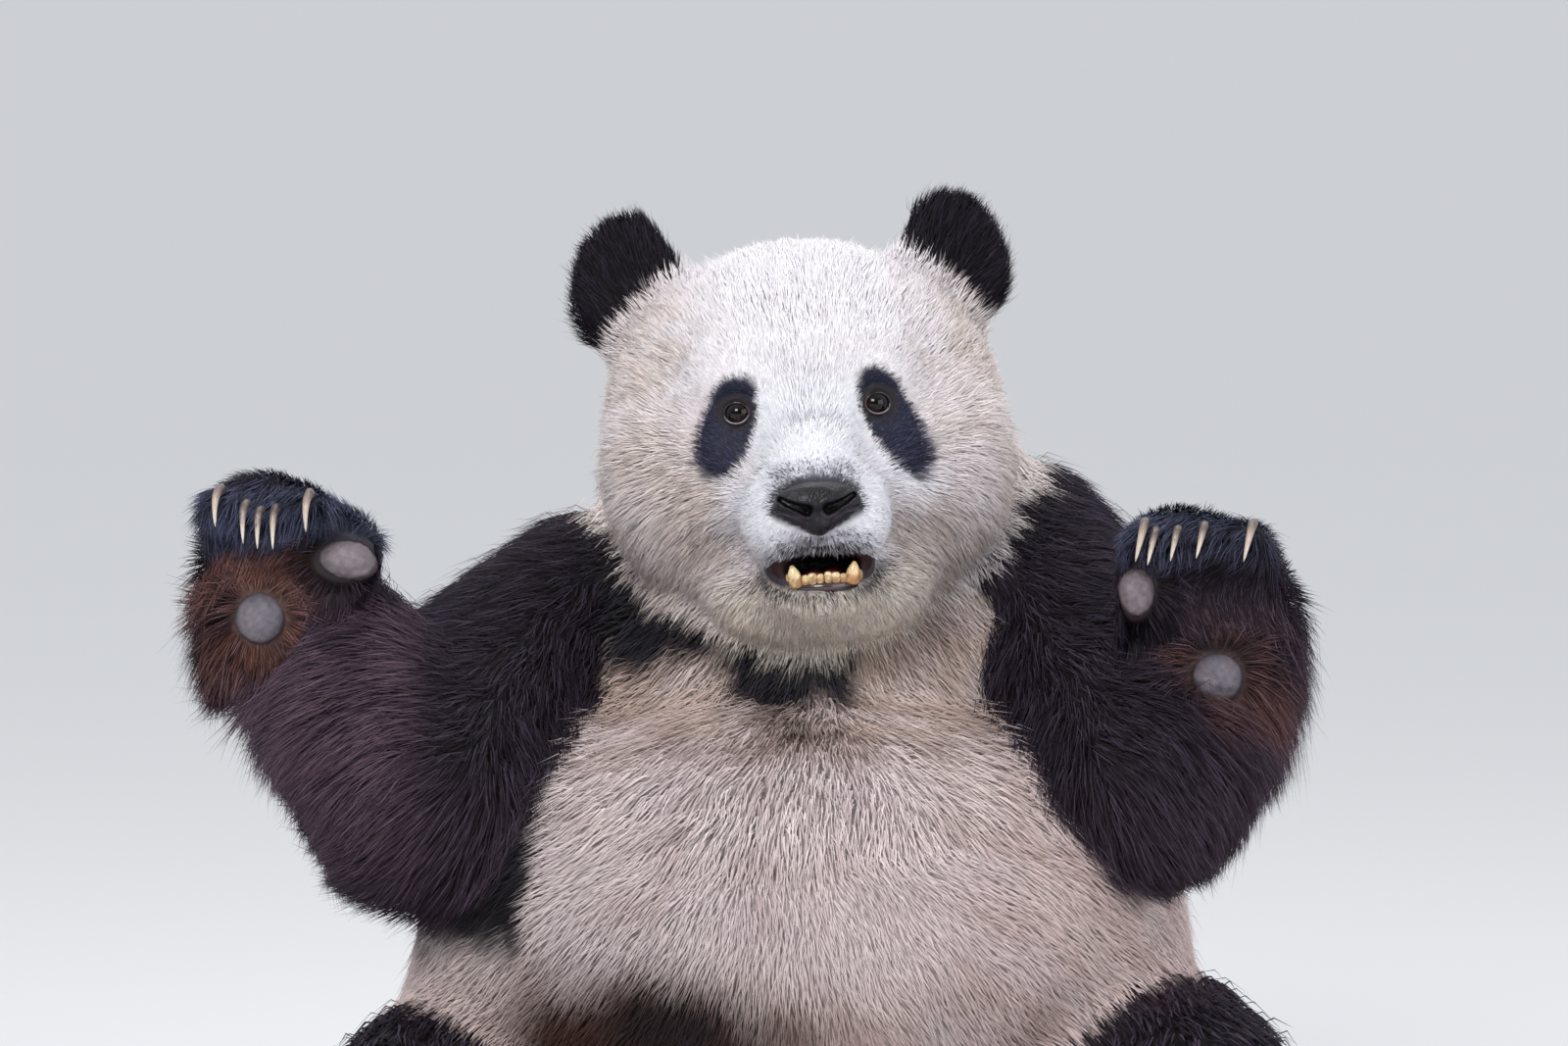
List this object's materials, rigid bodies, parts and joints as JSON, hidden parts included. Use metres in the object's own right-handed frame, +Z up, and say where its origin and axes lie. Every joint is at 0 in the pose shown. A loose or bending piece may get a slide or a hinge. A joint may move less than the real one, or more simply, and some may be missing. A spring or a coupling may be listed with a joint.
{
  "type": "giant panda",
  "caption": "Still life-size model of an adult giant panda sitting back on its rump, forepaws raised to grip and mouth open.",
  "frame": {"origin": "middle of the foot of the bounding box, on the floor", "axes": "+Z up, the panda faces -Y, its left side is at +X"},
  "size_m": [0.8416, 0.8876, 0.799],
  "materials": {
    "white_fur": "dense matt coat, soiled white",
    "black_fur": "shaggy matt coat, brown-black",
    "eye": "wet gloss, dark brown",
    "nose_skin": "fine pebbled, moist",
    "pad_skin": "worn grey skin",
    "claw_horn": "smooth horn, cream",
    "tooth": "stained enamel",
    "tongue": "moist soft tissue"
  },
  "bodies": {
    "root": {"head": "white_fur", "jaw": "white_fur", "neck": "white_fur", "chest": "black_fur", "belly": "white_fur", "rump": "white_fur", "tail": "white_fur", "nose": "nose_skin", "teeth_lower": "tooth", "teeth_upper": "tooth", "tongue": "tongue", "eye_right": "eye", "ear_right": "black_fur", "upper_arm_right": "black_fur", "forearm_right": "black_fur", "forepaw_right": "black_fur", "pad_heel_right": "pad_skin", "pad_thumb_right": "pad_skin", "thigh_right": "black_fur", "shank_right": "black_fur", "hindfoot_right": "black_fur", "pad_sole_right": "pad_skin", "claw_fore_right_1": "claw_horn", "claw_fore_right_2": "claw_horn", "claw_fore_right_3": "claw_horn", "claw_fore_right_4": "claw_horn", "claw_fore_right_5": "claw_horn", "claw_hind_right_1": "claw_horn", "claw_hind_right_2": "claw_horn", "claw_hind_right_3": "claw_horn", "claw_hind_right_4": "claw_horn", "claw_hind_right_5": "claw_horn", "eye_left": "eye", "ear_left": "black_fur", "upper_arm_left": "black_fur", "forearm_left": "black_fur", "forepaw_left": "black_fur", "pad_heel_left": "pad_skin", "pad_thumb_left": "pad_skin", "thigh_left": "black_fur", "shank_left": "black_fur", "hindfoot_left": "black_fur", "pad_sole_left": "pad_skin", "claw_fore_left_1": "claw_horn", "claw_fore_left_2": "claw_horn", "claw_fore_left_3": "claw_horn", "claw_fore_left_4": "claw_horn", "claw_fore_left_5": "claw_horn", "claw_hind_left_1": "claw_horn", "claw_hind_left_2": "claw_horn", "claw_hind_left_3": "claw_horn", "claw_hind_left_4": "claw_horn", "claw_hind_left_5": "claw_horn"}
  },
  "joints": []
}
